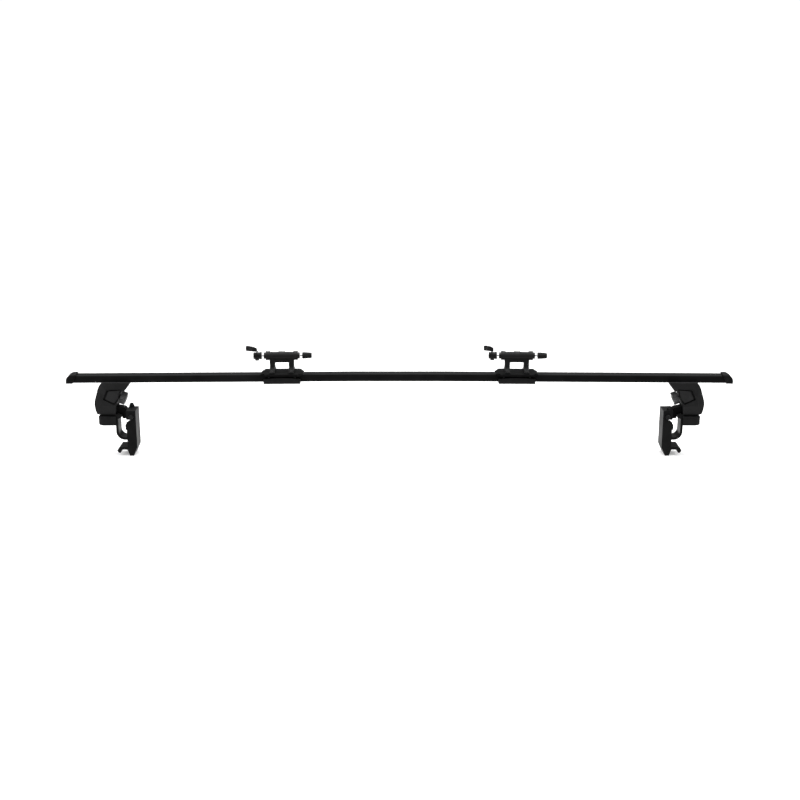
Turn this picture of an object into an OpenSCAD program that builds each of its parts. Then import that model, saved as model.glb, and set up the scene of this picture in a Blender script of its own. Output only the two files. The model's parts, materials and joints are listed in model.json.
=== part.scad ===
// Crossbar for a pickup bed: a cambered steel bar with two bed-rail clamp feet and two fork heads with quick-release skewers.
// Millimetres, +Z up, X along the bar, -Y is the front. The origin is the centre of the bar's top face at mid-span.

/* [Bar] */
// Half length of the steel bar, without its end caps
bar_half = 925; // [900:1:960]
// Depth of the bar, front to back
bar_w = 32; // [32:0.5:34]
// Height of the bar
bar_h = 22; // [22:0.5:22]
// Outer corner radius of the bar
bar_r = 4; // [3:0.5:5]
// Wall thickness of the bar
bar_wall = 2.5; // [2:0.1:3]
// Width of the slot along the bar's underside
slot_w = 10; // [9:0.5:11]
// Downward slope of the bar's outer lengths, in degrees
camber = 0.367; // [0.2:0.01:0.5]
// Distance from mid-span to each bend
bend_x = 125; // [100:5:150]

/* [Fork mounts] */
// Distance of each fork mount from mid-span
fork_x = 328; // [300:1:360]
// Width between the two dropout faces
hub_w = 100; // [100:1:100]
// Height of the skewer axis above the bar's centre line
head_z = 61.3; // [60:0.5:64]
// Radius of the head
head_r = 12; // [11:0.5:12]
// Radius of the skewer rod
rod_r = 2.5; // [2.4:0.1:2.6]
// Height of the saddle's deck above the bar's centre line
deck_z = 17.3; // [17:0.1:18]

/* [Feet] */
// Half depth of the tower, front to back
tower_y = 28; // [27:0.5:30]
// Lobes on the tension knob
knob_lobes = 5; // [3:1:7]
// Radius of the tension knob
knob_r = 19; // [17:0.5:19]
// Tilt of the tension bolt, in degrees
bolt_tilt = 20; // [20:1:20]
// Half depth of the jaw bracket
jaw_y = 26; // [25:0.5:28]
// Thickness of the jaw bracket's sheet
jaw_t = 3; // [2.5:0.5:3]

/* [Hidden] */
$fn = 48;

black = "#1c1c1e";
satin = "#2a2a2d";
rubber = "#161616";
zinc = "#8d8f93";
steel = "#b6b8bb";

// ---- frames -------------------------------------------------------------------------------------
// Everything below is drawn with Z = 0 at the bar's centre line at mid-span, and lowered by half the bar's height.
module centre_line() translate([0, 0, -bar_h / 2]) children();

// The bar's own sloped frame at distance x from mid-span, on the left (x < 0) or the right
module bar_frame(x) {
    s = x < 0 ? -1 : 1;
    centre_line() translate([s * bend_x, 0, 0]) rotate([0, s * camber, 0]) translate([x - s * bend_x, 0, 0]) children();
}

// side -1 is the left foot; the right foot is the same foot turned half a turn about Z
module foot_side(side) {
    if (side < 0) children();
    else rotate([0, 0, 180]) children();
}

// ---- shapes -------------------------------------------------------------------------------------
module rrect(w, h, r) {
    union() {
        square([w - 2 * r, h], center = true);
        square([w, h - 2 * r], center = true);
        for (sx = [-1, 1], sy = [-1, 1]) translate([sx * (w / 2 - r), sy * (h / 2 - r)]) circle(r = r);
    }
}

// A profile in X and Z, extruded along Y from y0 to y1
module along_y(y0, y1) translate([0, y1, 0]) rotate([90, 0, 0]) linear_extrude(y1 - y0) children();

// A profile in Y and Z, extruded along X from x0 to x1
module along_x(x0, x1) translate([x0, 0, 0]) rotate([90, 0, 90]) linear_extrude(x1 - x0) children();

module cyl_x(r, x0, x1) translate([x0, 0, 0]) rotate([0, 90, 0]) cylinder(r = r, h = x1 - x0);
module cyl_y(r, y0, y1) translate([0, y1, 0]) rotate([90, 0, 0]) cylinder(r = r, h = y1 - y0);

// A round rod from point p to point q
module rod(p, q, r) {
    d = q - p;
    translate(p) rotate([0, atan2(norm([d[0], d[1]]), d[2]), atan2(d[1], d[0])]) cylinder(r = r, h = norm(d));
}

module hex(r, h) cylinder(r = r, h = h, $fn = 6);

// ---- bar ----------------------------------------------------------------------------------------
// d makes the walls thinner from both sides
module bar_section(d = 0) {
    difference() {
        rrect(bar_w - 2 * d, bar_h - 2 * d, bar_r - d);
        rrect(bar_w - 2 * bar_wall + 2 * d, bar_h - 2 * bar_wall + 2 * d, bar_r - bar_wall + 0.5 + d);
        translate([-slot_w / 2 - d, -bar_h / 2 - 1]) square([slot_w + 2 * d, bar_wall + 2]);
    }
}

// The outer lengths run 1 mm into the middle one, and their walls are 0.02 mm inside its walls
module bar() {
    color(black) centre_line() union() {
        along_x(-bend_x, bend_x) bar_section();
        for (s = [-1, 1]) translate([s * bend_x, 0, 0]) rotate([0, s * camber, 0])
            along_x(s > 0 ? -1 : bend_x - bar_half, s > 0 ? bar_half - bend_x : 1) bar_section(0.02);
    }
}

// The cap's rounded outer end, with a slanted mouth that is longer on top
cap_r = 24;
module end_cap(s) {
    cx = bar_half - 14.8;
    color(satin) difference() {
        centre_line() mirror([s > 0 ? 0 : 1, 0, 0]) intersection() {
            along_y(-19, 19) intersection() {
                union() {
                    translate([cx, -14.3]) circle(r = cap_r);
                    translate([cx - 12, -40]) square([12, 49.7]);
                }
                polygon([[cx + 30, -18.1], [cx + 5.3, -18.1], [cx - 7.2, 9.7], [cx - 7.2, 11], [cx + 30, 11]]);
            }
            translate([cx - 12 + 18, 0, -30]) linear_extrude(60) rrect(36.4, 38, 9);
            along_x(cx - 20, cx + 40) translate([0, -4.2]) rrect(38, 27.8, 5.5);
        }
        bar_frame(s * bar_half) translate([s > 0 ? -60 : 0, 0, 0]) along_x(0, 60) rrect(bar_w, bar_h, bar_r);
    }
}

// ---- fork mounts --------------------------------------------------------------------------------
channel_y = bar_w / 2 + 0.4;
roof_z = bar_h / 2 + 1.7;
clamp_px = 36;
clamp_py = 22.2;
post_x = 26.5;
post_y = 26;

module saddle() {
    color(satin) difference() {
        intersection() {
            along_y(-33, 33) polygon([[-47, deck_z], [47, deck_z], [59.5, 12], [59.5, 9.6], [50, 7.8], [-50, 7.8], [-59.5, 9.6], [-59.5, 12]]);
            translate([0, 0, -5]) linear_extrude(40) polygon([[-45, -33], [45, -33], [59.5, -19], [59.5, 19], [45, 33], [-45, 33], [-59.5, 19], [-59.5, -19]]);
            along_x(-60, 60) translate([0, deck_z - 20]) rrect(66, 40, 8);
        }
        along_x(-70, 70) translate([-channel_y, -30]) square([2 * channel_y, roof_z + 30]);
        for (x = [-1, 1], y = [-1, 1]) {
            translate([x * clamp_px, y * clamp_py, 0]) cylinder(r = 3, h = 13);
            translate([x * post_x, y * post_y, 8]) cylinder(r = 2.5, h = 20);
        }
    }
}

module clamp_plate() {
    color(satin) difference() {
        along_x(-51, 51) difference() {
            translate([0, -4.5]) rrect(56, 20, 3);
            translate([-channel_y, -bar_h / 2 - 0.3]) square([2 * channel_y, 30]);
        }
        // the walls' upper edge is crowned
        difference() {
            translate([-60, -40, -5]) cube([120, 80, 20]);
            translate([0, 0, 3.6 - 255]) cyl_y(255, -41, 41);
        }
        for (x = [-1, 1], y = [-1, 1]) translate([x * clamp_px, y * clamp_py, -20]) {
            cylinder(r = 3.3, h = 30);
            cylinder(r = 5, h = 9.5);
        }
    }
}

module clamp_bolts() {
    color(zinc) for (x = [-1, 1], y = [-1, 1]) translate([x * clamp_px, y * clamp_py, 0]) difference() {
        union() {
            translate([0, 0, -14.4]) cylinder(r = 4.7, h = 3.9);
            translate([0, 0, -11]) cylinder(r = 3, h = 23);
        }
        translate([0, 0, -14.5]) hex(2.9, 2.5);
    }
}

module saddle_liner() {
    color(rubber) translate([-44, -14, bar_h / 2 + 0.2]) cube([88, 28, 1.5]);
}

module fork_head() {
    color(satin) difference() {
        union() {
            cyl_at_head(head_r, -34, 34);
            for (s = [-1, 1]) cyl_at_head(head_r + 0.6, s > 0 ? 34 : -44.5, s > 0 ? 44.5 : -34);
            translate([-34, -8, 43.3]) cube([68, 16, head_z - 46]);
            for (s = [-1, 1]) translate([s * post_x, 0, 0]) along_x(-7, 7)
                polygon([[-9, 54], [9, 54], [9.5, 32], [13, 25], [20, deck_z + 3], [31, deck_z + 3], [31, deck_z],
                    [-31, deck_z], [-31, deck_z + 3], [-20, deck_z + 3], [-13, 25], [-9.5, 32]]);
        }
        translate([0, 0, head_z]) cyl_x(rod_r + 0.08, -60, 60);
        // two pockets on top
        for (x = [-32, 9]) translate([x, -8.3, head_z + head_r - 5.4]) cube([23, 16.6, 8]);
        for (x = [-1, 1], y = [-1, 1]) translate([x * post_x, y * post_y, deck_z - 1]) cylinder(r = 2.5, h = 10);
    }
}
module cyl_at_head(r, x0, x1) translate([0, 0, head_z]) cyl_x(r, x0, x1);

module dropout_rings() {
    color(zinc) for (s = [-1, 1]) difference() {
        cyl_at_head(9, s > 0 ? 44.5 : -hub_w / 2, s > 0 ? hub_w / 2 : -44.5);
        cyl_at_head(rod_r + 0.08, -60, 60);
        // the outer face is dished
        cyl_at_head(5.5, s > 0 ? hub_w / 2 - 0.8 : -hub_w / 2 - 2, s > 0 ? hub_w / 2 + 2 : -hub_w / 2 + 0.8);
    }
}

module post_screws() {
    color(zinc) for (x = [-1, 1], y = [-1, 1]) translate([x * post_x, y * post_y, 0]) difference() {
        union() {
            translate([0, 0, deck_z + 3]) cylinder(r1 = 4.4, r2 = 3.4, h = 2.8);
            translate([0, 0, 8]) cylinder(r = 2.5, h = deck_z - 4);
        }
        translate([0, 0, deck_z + 3.6]) hex(1.9, 4);
    }
}

// ---- skewer -------------------------------------------------------------------------------------
cam_x = -69;
cam_tilt = 22.46;
ecc = 0.9;
// The frame of the cam's axis, its +Z along the axis and -Y towards the lever's tip
module cam_frame() translate([cam_x, 0, head_z]) rotate([-cam_tilt, 0, 0]) children();

module skewer_rod() {
    color(steel) difference() {
        union() {
            translate([0, 0, head_z]) cyl_x(rod_r, cam_x + 5, 78);
            cam_frame() translate([ecc, 0, -2.7]) cylinder(r = 5.9, h = 5.4);
        }
        cam_frame() translate([ecc, 0, -4]) cylinder(r = 4.1, h = 8);
    }
}

module cam_housing() {
    color(satin) difference() {
        union() {
            cyl_at_head(9.4, -79, -61);
            cyl_at_head(10.3, -61.5, -56.4);
            cam_frame() translate([0, 0, -13.4]) cylinder(r = 5.6, h = 8);
        }
        cyl_at_head(rod_r + 0.08, cam_x, -50);
        // the cam's journals, and the pocket that the rod's eye works in
        cam_frame() {
            translate([0, 0, -15]) cylinder(r = 4.05, h = 30);
            translate([0, 0, -3]) cylinder(r = 7.1, h = 6);
            translate([-12, -7.1, -3]) cube([12, 14.2, 6]);
        }
    }
}

module lever_shaft() {
    color(zinc) cam_frame() union() {
        translate([0, 0, 2.8]) cylinder(r = 4, h = 6.2);
        translate([0, 0, 8.9]) cylinder(r = 3, h = 5.3);
        translate([ecc, 0, -2.9]) cylinder(r = 3, h = 5.8);
        translate([0, 0, -12.8]) cylinder(r = 4, h = 10);
        rod([0, 0, 12], [-5.2, -26, 12.6], 2.25);
    }
}

module lever_grip() {
    color(black) cam_frame() difference() {
        intersection() {
            translate([0, 0, 5]) linear_extrude(18) polygon([[-4.7, -17.8], [-7.8, -24.8], [-12.4, -30.6], [-18.4, -36], [-24.4, -39.8], [-26.8, -43],
                [-26.2, -46.4], [-23.2, -47.8], [-15.4, -44], [-7.4, -37.6], [-1.6, -30], [2.4, -22.2], [0.6, -18]]);
            along_x(-40, 10) polygon([[-17, 8.2], [-17, 16], [-24, 17.6], [-34, 19.4], [-45, 20.6], [-48, 19.6], [-48, 7.2], [-45, 6.4], [-34, 6.6], [-24, 7.4]]);
        }
        rod([0, 0, 12], [-5.2, -26, 12.6], 2.25);
    }
}

nut_x = hub_w / 2 + 7.4;
module skewer_nut() {
    color(black) difference() {
        union() {
            translate([nut_x, 0, head_z]) rotate([0, 90, 0]) cylinder(r1 = 9.2, r2 = 9, h = 8);
            translate([nut_x + 8, 0, head_z]) rotate([0, 90, 0]) cylinder(r1 = 9, r2 = 7.9, h = 15);
            translate([nut_x + 23, 0, head_z]) rotate([0, 90, 0]) cylinder(r1 = 7.9, r2 = 6.6, h = 3.2);
        }
        cyl_at_head(rod_r + 0.06, nut_x - 1, 79);
        for (i = [0:9]) translate([nut_x + 3, 0, head_z]) rotate([36 * i, 0, 0]) rod([0, 0, 9.9], [26, 0, 8.5], 1.1);
    }
}

// ---- feet ---------------------------------------------------------------------------------------
// Outline of the tower in X and Z, for the left foot
knob_at = [-776, -63];
face_a = -12.2;
// A point of the bolt's frame: a along the bolt towards the knob, t down across it
function at(a, t) = [knob_at[0] + a * cos(bolt_tilt) - t * sin(bolt_tilt), knob_at[1] - a * sin(bolt_tilt) - t * cos(bolt_tilt)];
tower = [[-832, -12.3], [-839.5, -22], [-844.2, -32], [-850.4, -50], [-856.4, -68], [-857.8, -79], [-855.8, -93], [-851.6, -104], [-848.5, -105.6],
    [-798, -105.6], at(face_a, 19), at(face_a, -21), [-767, -34.5], [-752, -12.3]];
hollow = [[-829, -18], [-836.5, -24], [-841.2, -33], [-847.4, -50], [-853.4, -68], [-854.6, -78.5], [-852, -92], [-846, -102.6], [-846, -110],
    [-801, -110], [-801, -104], at(face_a - 3, 19), at(face_a - 3, -21), [-774, -32], [-763, -18]];
panel = [[-813.4, -37.4], [-823.4, -59.6], [-799, -71], [-789.6, -60], [-781.2, -34.2]];
// Outside the bevel of the casing's outboard corners, moved in by d
module corner_wedge(d) for (s = [-1, 1]) translate([-836 + d * sin(36), s * (tower_y - d * cos(36)), 0]) rotate([0, 0, s * 36])
    translate([-60, s < 0 ? -40 : 0, -140]) cube([60, 40, 160]);
module bolt_frame() translate([knob_at[0], 0, knob_at[1]]) rotate([0, bolt_tilt, 0]) children();

// One half of the tower's casing; s = -1 is the front half
module shell(s) {
    color(satin) difference() {
        centre_line() difference() {
            along_y(s < 0 ? -tower_y : 0, s < 0 ? 0 : tower_y) polygon(tower);
            // hollow, with its walls inside the bevels, and room for the frame's foot
            difference() {
                union() {
                    along_y(-18.8, 18.8) polygon(hollow);
                    translate([-846, -18.6, -106]) cube([66, 37.2, 6]);
                }
                corner_wedge(2.8);
            }
            // outboard corner, bevelled
            corner_wedge(0);
            // below the crease the side leans in
            translate([0, s * tower_y, -80]) rotate([s * -14, 0, 0]) translate([-900, s < 0 ? -20 : 0, -60]) cube([200, 20, 60]);
            // recess of the side panel
            along_y(s < 0 ? -tower_y - 1 : tower_y - 6, s < 0 ? -tower_y + 6 : tower_y + 1) polygon(
                [[-818.6, -33.6], [-830, -61.6], [-799, -77], [-787.6, -62.5], [-778.3, -31.2]]);
            // way out for the jaw arm, and the hole for the tension bolt
            translate([-806, -14.5, -110]) cube([20, 29, 31]);
            bolt_frame() cyl_x(5, -30, 0);
        }
        bar_frame(-800) along_x(-80, 80) rrect(bar_w + 0.8, bar_h + 0.6, bar_r);
        // the frame's top plate lies against the bar
        bar_frame(-800) translate([-27.3, -18.65, -bar_h / 2 - 4.5]) cube([58.6, 37.3, 6]);
    }
}

module tower_frame() {
    color(zinc) union() {
        difference() {
            bar_frame(-800) translate([-27, -18.5, -bar_h / 2 - 4.2]) cube([58, 37, 4]);
            for (x = [-13, 13]) bar_frame(-800) translate([x, 0, -30]) cylinder(r = 3, h = 30);
        }
        centre_line() {
            difference() {
                union() {
                    for (s = [-1, 1]) along_y(s < 0 ? -18.5 : 15.5, s < 0 ? -15.5 : 18.5)
                        polygon([[-826.5, -17.3], [-776.5, -17.3], at(-15.2, -13), at(-15.2, 14), [-801.2, -84], [-801.2, -105.6], [-845, -105.6], [-846, -98], [-849, -70], [-841, -46]]);
                    along_y(-15.6, 15.6) polygon([at(-19.2, -13), at(-15.2, -13), at(-15.2, 13), at(-19.2, 13)]);
                    translate([-845, -18.5, -105.6]) cube([43.8, 37, 4]);
                }
                bolt_frame() cyl_x(4.05, -30, 0);
                for (x = [-836, -812]) translate([x, 0, -110]) cylinder(r = 3, h = 20);
                corner_wedge(3.1);
            }
        }
    }
}

module slot_nut() {
    color(zinc) bar_frame(-800) difference() {
        union() {
            translate([-24, -slot_w / 2 + 0.3, -bar_h / 2 - 0.2]) cube([48, slot_w - 0.6, 3.2]);
            translate([-24, -11, -bar_h / 2 + bar_wall + 0.15]) cube([48, 22, 5]);
        }
        for (x = [-13, 13]) translate([x, 0, -20]) cylinder(r = 3, h = 40);
    }
}

module slot_bolts() {
    color(zinc) bar_frame(-800) for (x = [-13, 13]) translate([x, 0, 0]) union() {
        translate([0, 0, -bar_h / 2 - 9.7]) hex(5.6, 5.5);
        translate([0, 0, -bar_h / 2 - 5]) cylinder(r = 3, h = 11.5);
    }
}

module side_panels() {
    color(black) centre_line() for (s = [-1, 1]) along_y(s < 0 ? -tower_y + 0.2 : tower_y - 6, s < 0 ? -tower_y + 6 : tower_y - 0.2) polygon(panel);
}

module rail_pad() {
    color(rubber) centre_line() difference() {
        union() {
            intersection() {
                translate([-847, -28, -136]) cube([49.5, 56, 23.8]);
                // the front and back bulge, and the outboard corners are bevelled
                translate([-822.5, 0, -140]) linear_extrude(40) polygon([[-26, -15], [-16, -26], [-8, -28], [12, -28], [25, -26.5], [25, 26.5], [12, 28], [-8, 28], [-16, 26], [-26, 15]]);
            }
            translate([-840, -15.8, -114]) cube([40, 31.6, 4]);
        }
        // room for the hook arm and the base bolts' heads
        translate([-799.3, -21.3, -140]) cube([10, 42.6, 40]);
        for (x = [-836, -812]) translate([x, 0, -116]) cylinder(r = 6, h = 10);
        for (z = [-117.5, -123, -128.5], s = [-1, 1]) translate([-850, s * 28.6 - 0.8, z]) cube([60, 1.6, 1.4]);
    }
}

module hook_arm() {
    color(zinc) centre_line() difference() {
        union() {
            // two ribs stiffen the upper bend, with the jaw arm between them
            for (s = [-1, 1]) along_y(s < 0 ? -21 : 15, s < 0 ? -15 : 21)
                polygon([[-797, -105.6], [-779.5, -105.6], [-779.5, -111], [-783.5, -115.4], [-790, -117.6], [-797, -126]]);
        along_y(-21, 21) polygon([[-841, -105.6], [-841, -109.9], [-799, -109.9], [-799, -180], [-763, -180], [-761, -178], [-761, -169], [-763, -167],
            [-770, -150], [-792, -150], [-792, -105.6]]);
        }
        // the plate under the tower is narrower than the arm
        for (s = [-1, 1]) translate([-850, s < 0 ? -30 : 16, -112]) cube([50.8, 14, 10]);
        // the bend's outer and inner arcs
        difference() {
            translate([-800, -22, -181]) cube([25, 44, 25]);
            translate([-775, 0, -156]) cyl_y(24, -23, 23);
        }
        translate([-775, 0, -156]) cyl_y(17, -23, 23);
        translate([-792, -22, -156]) cube([30, 44, 30]);
        along_y(-22, 22) polygon([[-775, -173], [-772, -170], [-763, -168], [-760, -168], [-760, -150], [-775, -150]]);
        for (x = [-836, -812]) translate([x, 0, -115]) cylinder(r = 3.3, h = 20);
    }
}

module base_bolts() {
    color(zinc) centre_line() for (x = [-836, -812]) translate([x, 0, 0]) union() {
        translate([0, 0, -114.4]) hex(5.6, 4.5);
        translate([0, 0, -110]) cylinder(r = 3, h = 8.4);
    }
}

module knob_profile() {
    difference() {
        union() {
            circle(r = knob_r - 5);
            for (i = [0:knob_lobes - 1]) rotate(360 / knob_lobes * i) translate([0, knob_r - 5.2]) circle(r = 5.2);
        }
        for (i = [0:knob_lobes - 1]) rotate(360 / knob_lobes * (i + 0.5)) translate([0, knob_r]) circle(r = 5.6);
    }
}

module tension_knob(turn = 0) {
    color(satin) centre_line() bolt_frame() rotate([turn, 0, 0]) difference() {
        union() {
            along_x(-9.4, 7) knob_profile();
            cyl_x(8, 6.5, 8);
        }
        cyl_x(4, -20, 5);
        // the lobes are cored out behind
        for (i = [0:knob_lobes - 1]) rotate([360 / knob_lobes * i, 0, 0]) translate([0, 0, knob_r - 5.2]) cyl_x(3, -10, 4);
    }
}

module tension_bolt() {
    color(zinc) centre_line() bolt_frame() union() {
        cyl_x(4, -58, 5);
        cyl_x(6.5, -21.4, -19.5);
    }
}

arm_y = 13;
module jaw_arm() {
    color(satin) centre_line() difference() {
        union() {
            bolt_frame() translate([-38.4, -15.2, -10.2]) cube([16, 30.4, 20.2]);
            along_y(-arm_y, arm_y) polygon([at(-38.4, 10), at(-22.4, 10), at(-22.4, 21), [-794, -84.4], [-774, -88.6], [-769.3, -93], [-769.3, -97.3],
                [-767.5, -97.3], [-767.5, -119], [-781, -119], [-781, -106.4], [-797, -101], [-812, -95], [-822, -80]]);
            translate([-767.8, -22.9, -119]) cube([23.6, 45.8, 21.7]);
        }
        bolt_frame() cyl_x(4.06, -60, 0);
        translate([-754, 0, -111]) cyl_y(4, -40, 40);
        translate([-759, 17, -106.6]) cylinder(r = 4, h = 30);
    }
}

module jaw_bracket() {
    color(satin) centre_line() difference() {
        union() {
            for (s = [-1, 1]) along_y(s < 0 ? -jaw_y : jaw_y - jaw_t, s < 0 ? -jaw_y + jaw_t : jaw_y)
                polygon([[-768, -94], [-741, -94], [-741, -201], [-768, -201], [-768, -127], [-757, -126], [-757, -119.5], [-768, -119.5]]);
            translate([-744, -jaw_y, -201]) cube([3, 2 * jaw_y, 107]);
            translate([-768, -jaw_y, -97.2]) cube([27, 2 * jaw_y, 3.2]);
            // hook and leg
            along_y(-jaw_y, jaw_y) polygon([[-768, -200], [-741, -200], [-741, -201], [-752, -225.6], [-763, -225.6], [-769, -208.5], [-771, -207.6], [-783, -207.6], [-784.8, -209],
                [-788, -216], [-790, -217.2], [-793.5, -217], [-797.5, -212.5], [-798, -209], [-793, -201.5], [-790, -200]]);
        }
        translate([-754, 0, -111]) cyl_y(4, -40, 40);
        translate([-759, 17, -105]) cylinder(r = 4, h = 30);
    }
}

module jaw_pad() {
    color(rubber) centre_line() translate([-772, -jaw_y + jaw_t, -150]) cube([10, 2 * (jaw_y - jaw_t), 15]);
}

module cross_bolt() {
    color(zinc) centre_line() translate([-754, 0, -111]) union() {
        cyl_y(4, -jaw_y, jaw_y + 7);
        translate([0, -jaw_y, 0]) rotate([90, 0, 0]) hex(7.2, 4.6);
        translate([0, jaw_y + 5.6, 0]) rotate([90, 0, 0]) hex(7.2, 5.6);
    }
}

module cap_nut() {
    color(zinc) centre_line() translate([-759, 17, 0]) union() {
        translate([0, 0, -106.5]) cylinder(r = 4, h = 13.6);
        translate([0, 0, -94]) cylinder(r = 8.2, h = 1.6);
        translate([0, 0, -92.4]) hex(7.4, 5.4);
        translate([0, 0, -87.2]) cylinder(r = 5.4, h = 1.4);
        translate([0, 0, -85.9]) intersection() {
            sphere(r = 5.4);
            cylinder(r = 7, h = 4);
        }
    }
}

bar();
end_cap(-1);  // end_cap_left
end_cap(1);  // end_cap_right

bar_frame(-fork_x) saddle();  // saddle_left
bar_frame(-fork_x) clamp_plate();  // clamp_plate_left
bar_frame(-fork_x) clamp_bolts();  // clamp_bolts_left
bar_frame(-fork_x) saddle_liner();  // saddle_liner_left
bar_frame(-fork_x) fork_head();  // fork_head_left
bar_frame(-fork_x) dropout_rings();  // dropout_rings_left
bar_frame(-fork_x) post_screws();  // post_screws_left
bar_frame(-fork_x) skewer_rod();  // skewer_rod_left
bar_frame(-fork_x) cam_housing();  // cam_housing_left
bar_frame(-fork_x) lever_shaft();  // lever_shaft_left
bar_frame(-fork_x) lever_grip();  // lever_grip_left
bar_frame(-fork_x) skewer_nut();  // skewer_nut_left

bar_frame(fork_x) saddle();  // saddle_right
bar_frame(fork_x) clamp_plate();  // clamp_plate_right
bar_frame(fork_x) clamp_bolts();  // clamp_bolts_right
bar_frame(fork_x) saddle_liner();  // saddle_liner_right
bar_frame(fork_x) fork_head();  // fork_head_right
bar_frame(fork_x) dropout_rings();  // dropout_rings_right
bar_frame(fork_x) post_screws();  // post_screws_right
bar_frame(fork_x) skewer_rod();  // skewer_rod_right
bar_frame(fork_x) cam_housing();  // cam_housing_right
bar_frame(fork_x) lever_shaft();  // lever_shaft_right
bar_frame(fork_x) lever_grip();  // lever_grip_right
bar_frame(fork_x) skewer_nut();  // skewer_nut_right

foot_side(-1) shell(-1);  // front_shell_left
foot_side(-1) shell(1);  // rear_shell_left
foot_side(-1) tower_frame();  // tower_frame_left
foot_side(-1) slot_nut();  // slot_nut_left
foot_side(-1) slot_bolts();  // slot_bolts_left
foot_side(-1) side_panels();  // side_panels_left
foot_side(-1) rail_pad();  // rail_pad_left
foot_side(-1) hook_arm();  // hook_arm_left
foot_side(-1) base_bolts();  // base_bolts_left
foot_side(-1) tension_knob();  // tension_knob_left
foot_side(-1) tension_bolt();  // tension_bolt_left
foot_side(-1) jaw_arm();  // jaw_arm_left
foot_side(-1) jaw_bracket();  // jaw_bracket_left
foot_side(-1) jaw_pad();  // jaw_pad_left
foot_side(-1) cross_bolt();  // cross_bolt_left
foot_side(-1) cap_nut();  // cap_nut_left

// The right foot's front shell is the other half of the same casing, because the foot is turned round
foot_side(1) shell(1);  // front_shell_right
foot_side(1) shell(-1);  // rear_shell_right
foot_side(1) tower_frame();  // tower_frame_right
foot_side(1) slot_nut();  // slot_nut_right
foot_side(1) slot_bolts();  // slot_bolts_right
foot_side(1) side_panels();  // side_panels_right
foot_side(1) rail_pad();  // rail_pad_right
foot_side(1) hook_arm();  // hook_arm_right
foot_side(1) base_bolts();  // base_bolts_right
foot_side(1) tension_knob(36);  // tension_knob_right
foot_side(1) tension_bolt();  // tension_bolt_right
foot_side(1) jaw_arm();  // jaw_arm_right
foot_side(1) jaw_bracket();  // jaw_bracket_right
foot_side(1) jaw_pad();  // jaw_pad_right
foot_side(1) cross_bolt();  // cross_bolt_right
foot_side(1) cap_nut();  // cap_nut_right
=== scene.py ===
import json
import math

import bmesh
import bpy
from mathutils import Matrix, Vector

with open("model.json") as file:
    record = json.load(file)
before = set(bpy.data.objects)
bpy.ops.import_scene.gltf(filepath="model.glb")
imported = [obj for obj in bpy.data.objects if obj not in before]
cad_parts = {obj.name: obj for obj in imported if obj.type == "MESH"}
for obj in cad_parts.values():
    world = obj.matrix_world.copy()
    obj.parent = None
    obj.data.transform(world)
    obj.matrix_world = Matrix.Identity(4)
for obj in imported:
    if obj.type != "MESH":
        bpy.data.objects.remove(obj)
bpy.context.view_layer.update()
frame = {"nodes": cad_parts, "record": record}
NODES = frame["nodes"]
RECORD = frame["record"]
MM = 0.001

# ---- camera --------------------------------------------------------------------------------------
cam_data = bpy.data.cameras.new("camera")
cam = bpy.data.objects.new("camera", cam_data)
bpy.context.scene.collection.objects.link(cam)
bpy.context.scene.camera = cam
cam_data.lens = 58.5
cam_data.sensor_width = 36.0
cam_data.clip_end = 200.0
target = Vector((0.0017, 0.0, -0.080))
cam.location = Vector((0.0017, -3.5327, 0.8997))
cam.rotation_euler = (target - cam.location).to_track_quat("-Z", "Y").to_euler()


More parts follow.
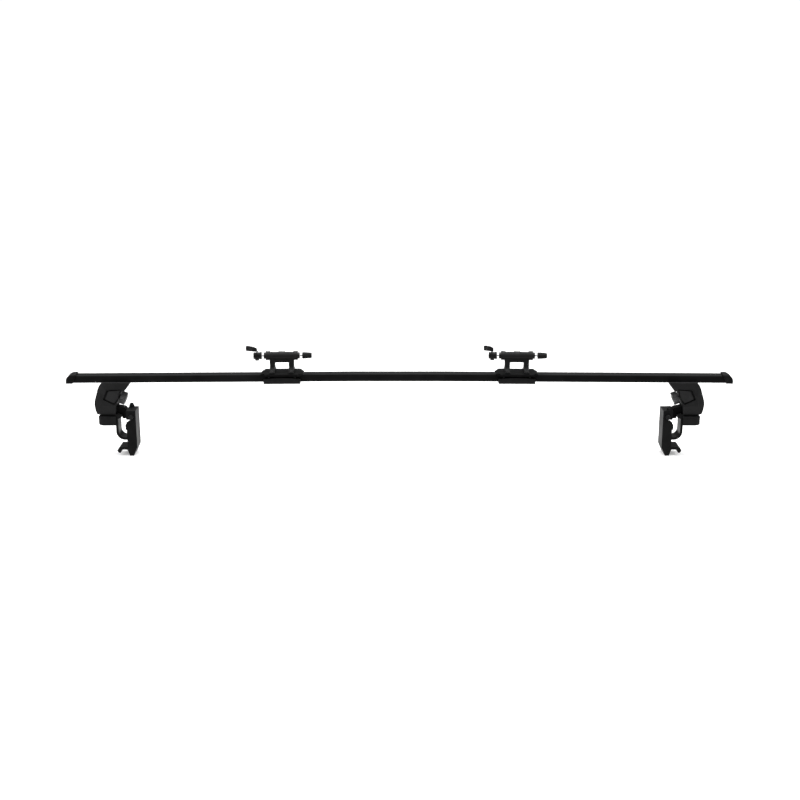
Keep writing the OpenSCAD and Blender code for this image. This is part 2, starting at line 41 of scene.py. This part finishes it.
# ---- materials -----------------------------------------------------------------------------------
def material(name, dark, light, rough, grain, bump, metallic=0.0, spec=0.3, blotch=60.0, wear=0.0, wear_tone=0.2,
             streak=None, coat=0.0, stretch=(1.0, 1.0, 1.0)):
    """A noise-based finish. dark and light are the base colour's range, rough the roughness range, grain the texture's
    cells per metre and bump its depth in metres."""
    m = bpy.data.materials.new(name)
    m.use_nodes = True
    nt = m.node_tree
    nt.nodes.clear()
    N, L = nt.nodes.new, nt.links.new
    out = N("ShaderNodeOutputMaterial")
    bsdf = N("ShaderNodeBsdfPrincipled")
    L(bsdf.outputs["BSDF"], out.inputs["Surface"])
    bsdf.inputs["Metallic"].default_value = metallic
    bsdf.inputs["Specular IOR Level"].default_value = spec
    if coat:
        bsdf.inputs["Coat Weight"].default_value = coat
        bsdf.inputs["Coat Roughness"].default_value = 0.25
    tc = N("ShaderNodeTexCoord")
    mp = N("ShaderNodeMapping")
    mp.inputs["Scale"].default_value = stretch
    L(tc.outputs["Object"], mp.inputs["Vector"])
    co = mp.outputs["Vector"]
    big = N("ShaderNodeTexNoise")
    big.inputs["Scale"].default_value = blotch
    big.inputs["Detail"].default_value = 5.0
    L(co, big.inputs["Vector"])
    fine = N("ShaderNodeTexNoise")
    fine.inputs["Scale"].default_value = grain
    fine.inputs["Detail"].default_value = 3.0
    fine.inputs["Roughness"].default_value = 0.6
    L(co, fine.inputs["Vector"])
    mixf = N("ShaderNodeMath")
    mixf.operation = "MULTIPLY_ADD"
    L(fine.outputs["Fac"], mixf.inputs[0])
    mixf.inputs[1].default_value = 0.45
    half = N("ShaderNodeMath")
    half.operation = "MULTIPLY"
    L(big.outputs["Fac"], half.inputs[0])
    half.inputs[1].default_value = 0.55
    L(half.outputs[0], mixf.inputs[2])
    ramp = N("ShaderNodeValToRGB")
    ramp.color_ramp.elements[0].position = 0.36
    ramp.color_ramp.elements[0].color = (*dark, 1)
    ramp.color_ramp.elements[1].position = 0.64
    ramp.color_ramp.elements[1].color = (*light, 1)
    L(mixf.outputs[0], ramp.inputs["Fac"])
    colour = ramp.outputs["Color"]
    if wear > 0:
        geo = N("ShaderNodeNewGeometry")
        edge = N("ShaderNodeMapRange")
        edge.inputs["From Min"].default_value = 0.52
        edge.inputs["From Max"].default_value = 0.62
        edge.inputs["To Max"].default_value = wear
        L(geo.outputs["Pointiness"], edge.inputs["Value"])
        patch = N("ShaderNodeMath")
        patch.operation = "MULTIPLY"
        L(edge.outputs["Result"], patch.inputs[0])
        L(big.outputs["Fac"], patch.inputs[1])
        mix = N("ShaderNodeMix")
        mix.data_type = "RGBA"
        L(patch.outputs[0], mix.inputs["Factor"])
        L(colour, mix.inputs["A"])
        mix.inputs["B"].default_value = (wear_tone, wear_tone, wear_tone, 1)
        colour = mix.outputs["Result"]
    L(colour, bsdf.inputs["Base Color"])
    rr = N("ShaderNodeMapRange")
    rr.inputs["From Min"].default_value = 0.3
    rr.inputs["From Max"].default_value = 0.7
    rr.inputs["To Min"].default_value = rough[0]
    rr.inputs["To Max"].default_value = rough[1]
    L(big.outputs["Fac"], rr.inputs["Value"])
    L(rr.outputs["Result"], bsdf.inputs["Roughness"])
    height = fine.outputs["Fac"]
    if streak:
        line = N("ShaderNodeTexNoise")
        line.inputs["Scale"].default_value = 1.0
        line.inputs["Detail"].default_value = 2.0
        mp2 = N("ShaderNodeMapping")
        mp2.inputs["Scale"].default_value = streak
        L(tc.outputs["Object"], mp2.inputs["Vector"])
        L(mp2.outputs["Vector"], line.inputs["Vector"])
        add = N("ShaderNodeMath")
        add.operation = "ADD"
        L(fine.outputs["Fac"], add.inputs[0])
        L(line.outputs["Fac"], add.inputs[1])
        height = add.outputs[0]
    bp = N("ShaderNodeBump")
    bp.inputs["Distance"].default_value = bump
    bp.inputs["Strength"].default_value = 1.0
    L(height, bp.inputs["Height"])
    L(bp.outputs["Normal"], bsdf.inputs["Normal"])
    return m


def g(v):
    return (v, v, v * 1.02)


MATS = {
    "bar_coating": material("bar_coating", g(0.0055), g(0.0095), (0.36, 0.46), 1400, 0.00005, spec=0.12, blotch=25, wear=0.25, wear_tone=0.03),
    "cap_plastic": material("cap_plastic", g(0.007), g(0.011), (0.5, 0.62), 1100, 0.0001, spec=0.14, blotch=40, wear=0.3, wear_tone=0.04),
    "cast_coating": material("cast_coating", g(0.015), g(0.023), (0.34, 0.46), 900, 0.0001, spec=0.16, blotch=70, wear=0.35, wear_tone=0.05),
    "dark_fastener": material("dark_fastener", g(0.035), g(0.06), (0.3, 0.42), 700, 0.00006, metallic=0.9, spec=0.5, blotch=150, wear=0.5, wear_tone=0.2),
    "pad_rubber": material("pad_rubber", g(0.015), g(0.023), (0.62, 0.78), 1000, 0.00014, spec=0.12, blotch=50, wear=0.15, wear_tone=0.03),
    "ring_steel": material("ring_steel", g(0.02), g(0.04), (0.3, 0.42), 600, 0.00006, metallic=0.85, spec=0.5, blotch=120, wear=0.5, wear_tone=0.15),
    "skewer_steel": material("skewer_steel", g(0.5), g(0.66), (0.16, 0.28), 600, 0.00003, metallic=1.0, spec=0.5, blotch=200, streak=(30, 900, 900)),
    "lever_plastic": material("lever_plastic", g(0.008), g(0.013), (0.36, 0.5), 1100, 0.00008, spec=0.17, blotch=60, wear=0.3, wear_tone=0.04),
    "tower_plastic": material("tower_plastic", g(0.015), g(0.024), (0.48, 0.6), 1000, 0.00013, spec=0.2, blotch=45, wear=0.3, wear_tone=0.06),
    "panel_plastic": material("panel_plastic", g(0.027), g(0.036), (0.42, 0.54), 1300, 0.00007, spec=0.2, blotch=45, wear=0.2, wear_tone=0.06),
    "zinc_steel": material("zinc_steel", g(0.28), g(0.42), (0.32, 0.46), 500, 0.00006, metallic=1.0, spec=0.5, blotch=90),
    "arm_steel": material("arm_steel", g(0.007), g(0.012), (0.3, 0.42), 1000, 0.0001, spec=0.25, blotch=60, wear=0.3, wear_tone=0.08),
    "knob_plastic": material("knob_plastic", g(0.075), g(0.11), (0.22, 0.34), 900, 0.00006, spec=0.6, blotch=90, wear=0.3, wear_tone=0.1),
    "bracket_coating": material("bracket_coating", g(0.0105), g(0.0155), (0.32, 0.42), 1400, 0.00005, spec=0.12, blotch=30, wear=0.2, wear_tone=0.03),
}
# pieces given a darker coat than the rest of their kind: the saddle gets a darker, less glossy coat, and the jaw_arm's
# darker coat is painted shade for the shadowed gap between the tower and the bracket
DARK_COATS_AND_PAINTED_SHADE = {
    "saddle": material("deep_cast_coating", g(0.004), g(0.0062), (0.46, 0.58), 900, 0.0001, spec=0.07, blotch=70, wear=0.35, wear_tone=0.05),
    # painted shade: the jaw arm's coat is darkened to stand for the shadow that falls between the tower and the
    # bracket
    "jaw_arm": material("bracket_painted_shade_coating", g(0.0035), g(0.0055), (0.42, 0.54), 1400, 0.00005, spec=0.07, blotch=30, wear=0.2, wear_tone=0.03),
}
SLOT_OF = {p["node"]: p["material_slot"] for p in RECORD["subparts"]}


def smooth_group():
    ng = bpy.data.node_groups.new("smooth_by_angle", "GeometryNodeTree")
    ng.interface.new_socket("Geometry", in_out="INPUT", socket_type="NodeSocketGeometry")
    ng.interface.new_socket("Geometry", in_out="OUTPUT", socket_type="NodeSocketGeometry")
    ang = ng.interface.new_socket("Angle", in_out="INPUT", socket_type="NodeSocketFloat")
    ang.default_value = math.radians(35)
    gi, go = ng.nodes.new("NodeGroupInput"), ng.nodes.new("NodeGroupOutput")
    ea = ng.nodes.new("GeometryNodeInputMeshEdgeAngle")
    cmp_ = ng.nodes.new("FunctionNodeCompare")
    cmp_.data_type = "FLOAT"
    cmp_.operation = "LESS_EQUAL"
    s1 = ng.nodes.new("GeometryNodeSetShadeSmooth")
    s1.domain = "EDGE"
    s2 = ng.nodes.new("GeometryNodeSetShadeSmooth")
    s2.domain = "FACE"
    ng.links.new(ea.outputs["Unsigned Angle"], cmp_.inputs[0])
    ng.links.new(gi.outputs["Angle"], cmp_.inputs[1])
    ng.links.new(gi.outputs["Geometry"], s2.inputs["Geometry"])
    ng.links.new(s2.outputs["Geometry"], s1.inputs["Geometry"])
    ng.links.new(cmp_.outputs["Result"], s1.inputs["Shade Smooth"])
    ng.links.new(s1.outputs["Geometry"], go.inputs["Geometry"])
    return ng, ang.identifier


SMOOTH, ANGLE_ID = smooth_group()


def finish_mesh(obj, width, limit=30.0, segments=3, weld=True, shade=32.0, holed=False):
    """Rounds an object's edges by width millimetres and shades it by angle."""
    if weld:
        w = obj.modifiers.new("weld", "WELD")
        w.merge_threshold = 0.000004
    if weld and not holed:
        d = obj.modifiers.new("flat", "DECIMATE")
        d.decimate_type = "DISSOLVE"
        d.angle_limit = math.radians(0.25)
    if width > 0:
        b = obj.modifiers.new("bevel", "BEVEL")
        b.width = width * MM
        b.segments = segments
        b.limit_method = "ANGLE"
        b.angle_limit = math.radians(limit)
        b.use_clamp_overlap = True
        b.miter_outer = "MITER_ARC"
    n = obj.modifiers.new("smooth", "NODES")
    n.node_group = SMOOTH
    n[ANGLE_ID] = math.radians(shade)
    wn = obj.modifiers.new("normals", "WEIGHTED_NORMAL")
    wn.keep_sharp = True
    wn.weight = 60


BEVEL = {  # node stem: (edge radius in mm, least angle, shading angle)
    "bar": (0.4, 40, 35), "end_cap": (0.9, 28, 35), "saddle": (0.9, 24, 34), "clamp_plate": (1.2, 30, 35), "clamp_bolts": (0.3, 40, 35),
    "saddle_liner": (0.3, 40, 35), "fork_head": (0.5, 40, 34), "dropout_rings": (0.35, 40, 35), "post_screws": (0.3, 40, 35),
    "skewer_rod": (0.3, 40, 35), "cam_housing": (0.8, 40, 35), "lever_shaft": (0.3, 40, 35), "lever_grip": (0.0, 12, 60), "skewer_nut": (0.5, 40, 38),
    "front_shell": (1.1, 11, 34), "rear_shell": (1.1, 11, 34), "tower_frame": (0.4, 40, 35), "slot_nut": (0.3, 40, 35), "slot_bolts": (0.4, 40, 35),
    "side_panels": (0.8, 30, 35), "rail_pad": (0.8, 20, 35), "hook_arm": (0.7, 40, 35), "base_bolts": (0.5, 40, 35), "tension_knob": (0.9, 34, 38),
    "tension_bolt": (0.3, 40, 35), "jaw_arm": (0.0, 40, 30), "jaw_bracket": (0.0, 50, 30), "jaw_pad": (0.8, 40, 35), "cross_bolt": (0.5, 40, 35),
    "cap_nut": (0.5, 40, 35),
}


# nodes with holes in flat faces, which have to stay triangles
HOLED = {"front_shell", "rear_shell", "tower_frame", "fork_head", "saddle", "jaw_bracket", "hook_arm", "clamp_plate", "bar", "jaw_arm"}


def stem(node):
    for suffix in ("_left", "_right"):
        if node.endswith(suffix):
            return node[: -len(suffix)]
    return node


for name, obj in NODES.items():
    me = obj.data
    me.materials.clear()
    me.materials.append(DARK_COATS_AND_PAINTED_SHADE.get(stem(name)) or MATS[SLOT_OF[name]])
    attr = me.attributes.get("custom_normal")
    if attr is not None:
        me.attributes.remove(attr)
    width, limit, shade = BEVEL[stem(name)]
    if stem(name) == "lever_grip":
        # the moulded paddle's edges run into one another in one soft curve
        v = obj.modifiers.new("skin", "REMESH")
        v.mode = "VOXEL"
        v.voxel_size = 0.0005
        v.use_smooth_shade = True
        sm = obj.modifiers.new("soften", "SMOOTH")
        sm.factor = 0.5
        sm.iterations = 45
        finish_mesh(obj, 0, weld=False, shade=shade)
        continue
    finish_mesh(obj, width, limit, shade=shade, holed=stem(name) in HOLED)

# ---- stage ---------------------------------------------------------------------------------------
FLOOR_Z = -0.2366
bm = bmesh.new()
bmesh.ops.create_grid(bm, x_segments=8, y_segments=8, size=40.0)
me = bpy.data.meshes.new("floor")
bm.to_mesh(me)
bm.free()
floor = bpy.data.objects.new("floor", me)
bpy.context.scene.collection.objects.link(floor)
floor.location = (0, 0, FLOOR_Z)
fm = bpy.data.materials.new("floor")
fm.use_nodes = True
fb = fm.node_tree.nodes["Principled BSDF"]
fb.inputs["Roughness"].default_value = 0.9
fb.inputs["Specular IOR Level"].default_value = 0.1
fb.inputs["Emission Color"].default_value = (1.0, 1.0, 1.0, 1)
fb.inputs["Emission Strength"].default_value = 0.32
fn = fm.node_tree.nodes.new("ShaderNodeTexNoise")
fn.inputs["Scale"].default_value = 0.6
fr = fm.node_tree.nodes.new("ShaderNodeValToRGB")
fr.color_ramp.elements[0].color = (0.9, 0.9, 0.9, 1)
fr.color_ramp.elements[1].color = (0.93, 0.93, 0.93, 1)
fm.node_tree.links.new(fn.outputs["Fac"], fr.inputs["Fac"])
fm.node_tree.links.new(fr.outputs["Color"], fb.inputs["Base Color"])
floor.data.materials.append(fm)
# the floor doesn't mirror or bounce light onto the black object, as in a studio with a dark surround
floor.visible_glossy = False
floor.visible_diffuse = False

scene = bpy.context.scene
world = bpy.data.worlds.new("studio")
scene.world = world
world.use_nodes = True
wt = world.node_tree
wt.nodes.clear()
w_out = wt.nodes.new("ShaderNodeOutputWorld")
w_mix = wt.nodes.new("ShaderNodeMixShader")
w_seen = wt.nodes.new("ShaderNodeBackground")
w_lit = wt.nodes.new("ShaderNodeBackground")
w_path = wt.nodes.new("ShaderNodeLightPath")
w_seen.inputs["Color"].default_value = (1, 1, 1, 1)
w_seen.inputs["Strength"].default_value = 1.05
# the dome is bright overhead and dim near the horizon
w_tc = wt.nodes.new("ShaderNodeTexCoord")
w_xyz = wt.nodes.new("ShaderNodeSeparateXYZ")
w_pow = wt.nodes.new("ShaderNodeMath")
w_pow.operation = "POWER"
w_pow.use_clamp = True
w_pow.inputs[1].default_value = 2.0
w_str = wt.nodes.new("ShaderNodeMath")
w_str.operation = "MULTIPLY_ADD"
w_str.inputs[1].default_value = 2.0
# a low white card behind the object, below the horizon
w_card = wt.nodes.new("ShaderNodeMapRange")
w_card.interpolation_type = "SMOOTHSTEP"
w_card.inputs["From Min"].default_value = 0.55
w_card.inputs["From Max"].default_value = 0.9
w_card.inputs["To Min"].default_value = 0.07
w_card.inputs["To Max"].default_value = 1.1
w_low = wt.nodes.new("ShaderNodeMapRange")
w_low.interpolation_type = "SMOOTHSTEP"
w_low.inputs["From Min"].default_value = -0.02
w_low.inputs["From Max"].default_value = -0.16
w_both = wt.nodes.new("ShaderNodeMath")
w_both.operation = "MULTIPLY_ADD"
w_both.inputs[2].default_value = 0.05
wt.links.new(w_tc.outputs["Generated"], w_xyz.inputs["Vector"])
wt.links.new(w_xyz.outputs["Z"], w_pow.inputs[0])
wt.links.new(w_pow.outputs[0], w_str.inputs[0])
wt.links.new(w_xyz.outputs["Y"], w_card.inputs["Value"])
wt.links.new(w_xyz.outputs["Z"], w_low.inputs["Value"])
wt.links.new(w_card.outputs["Result"], w_both.inputs[0])
wt.links.new(w_low.outputs["Result"], w_both.inputs[1])
wt.links.new(w_both.outputs[0], w_str.inputs[2])
wt.links.new(w_str.outputs[0], w_lit.inputs["Strength"])
wt.links.new(w_path.outputs["Is Camera Ray"], w_mix.inputs["Fac"])
wt.links.new(w_lit.outputs[0], w_mix.inputs[1])
wt.links.new(w_seen.outputs[0], w_mix.inputs[2])
wt.links.new(w_mix.outputs[0], w_out.inputs["Surface"])
scene.view_settings.view_transform = "Standard"
scene.view_settings.look = "None"


def area(name, loc, aim, size, power, size_y=None):
    data = bpy.data.lights.new(name, "AREA")
    data.energy = power
    data.shape = "RECTANGLE"
    data.size = size
    data.size_y = size_y or size
    o = bpy.data.objects.new(name, data)
    bpy.context.scene.collection.objects.link(o)
    o.location = loc
    o.rotation_euler = (Vector(aim) - Vector(loc)).to_track_quat("-Z", "Y").to_euler()
    return o


area("top", (0.0, 0.6, 2.6), (0, 0, -0.1), 3.4, 60, 1.6)
area("left", (-3.0, -1.4, 1.8), (0, 0, -0.1), 1.8, 38)
area("right", (3.0, -1.2, 1.9), (0, 0, -0.1), 1.8, 38)
